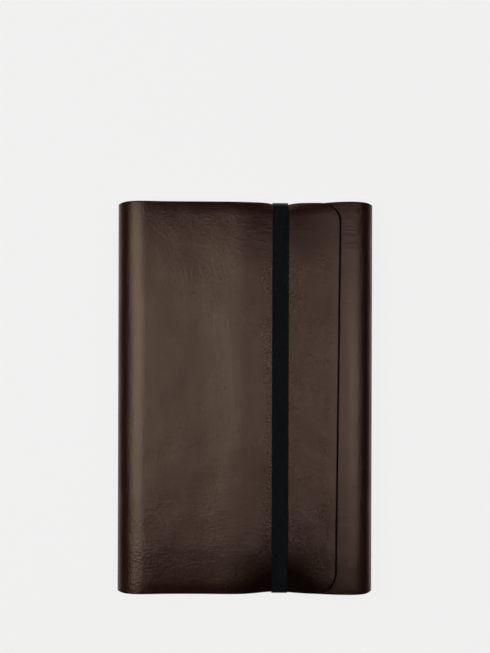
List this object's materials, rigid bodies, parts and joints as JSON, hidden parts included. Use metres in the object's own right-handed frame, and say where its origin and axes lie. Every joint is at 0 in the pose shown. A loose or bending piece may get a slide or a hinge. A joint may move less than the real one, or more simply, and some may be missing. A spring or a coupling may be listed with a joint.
{
  "type": "leather notebook cover",
  "caption": "Flat leather wrap cover folded round a notebook, its front lapping over a tucked flap and held shut by a flat elastic band round the short ends.",
  "frame": {"origin": "middle of the closed cover's footprint, on the outer face of the back, which lies on the table", "axes": "+X from the spine to the fore-edge, +Y up the page towards the head of the notebook, +Z out of the front of the cover"},
  "size_m": [0.14, 0.2194, 0.0217],
  "materials": {
    "cover_leather": "smooth dark brown leather, burnished darker along the cut edges",
    "sleeve_leather": "unpolished brown lining leather",
    "notebook_card": "matt kraft card",
    "notebook_cloth": "dark bookbinding cloth",
    "page_paper": "uncoated cream paper",
    "band_elastic": "black ribbed flat elastic"
  },
  "bodies": {
    "back": {"back_panel": "cover_leather", "back_sleeve": "sleeve_leather", "notebook_back_card": "notebook_card", "notebook_front_card": "notebook_card", "notebook_spine": "notebook_cloth", "signature_1": "page_paper", "signature_2": "page_paper", "signature_3": "page_paper", "signature_4": "page_paper", "signature_5": "page_paper", "signature_6": "page_paper", "signature_7": "page_paper", "signature_8": "page_paper", "band_top_tab": "band_elastic", "band_bottom_tab": "band_elastic"},
    "spine": {"spine_wrap": "cover_leather"},
    "front": {"front_cover": "cover_leather"},
    "fore_edge": {"fore_edge_wrap": "cover_leather"},
    "flap": {"tuck_flap": "cover_leather"},
    "band_ends": {"band_top_side": "band_elastic", "band_bottom_side": "band_elastic"},
    "band_run": {"band_front": "band_elastic"}
  },
  "joints": [
    {"name": "spine_back_fold", "type": "hinge", "parent": "back", "child": "spine", "pos_m": [-0.067, 0, 0.003], "axis": [0, -1, 0], "range_deg": [0, 90]},
    {"name": "spine_front_fold", "type": "hinge", "parent": "spine", "child": "front", "pos_m": [-0.067, 0, 0.0175], "axis": [0, -1, 0], "range_deg": [0, 90]},
    {"name": "fore_edge_back_fold", "type": "hinge", "parent": "back", "child": "fore_edge", "pos_m": [0.06728, 0, 0.00272], "axis": [0, 1, 0], "range_deg": [0, 90]},
    {"name": "fore_edge_front_fold", "type": "hinge", "parent": "fore_edge", "child": "flap", "pos_m": [0.06728, 0, 0.01588], "axis": [0, 1, 0], "range_deg": [0, 90]},
    {"name": "band_swing", "type": "hinge", "parent": "back", "child": "band_ends", "pos_m": [0.0194, 0, 0.0042], "axis": [0, 1, 0], "range_deg": [0, 84]},
    {"name": "band_stretch", "type": "slide", "parent": "band_ends", "child": "band_run", "axis": [0, 0, 1], "range_m": [0, 0.046], "stiffness_N_per_m": 60, "springref_m": -0.02, "deforming": ["band_top_side", "band_bottom_side", "band_front"]}
  ],
  "couplings": [
    {"joint": "spine_front_fold", "follows": "spine_back_fold", "ratio": 1},
    {"joint": "fore_edge_back_fold", "follows": "spine_back_fold", "ratio": 1},
    {"joint": "fore_edge_front_fold", "follows": "spine_back_fold", "ratio": 1},
    {"joint": "band_swing", "follows": "band_stretch", "rad_per_m": 31.87}
  ]
}
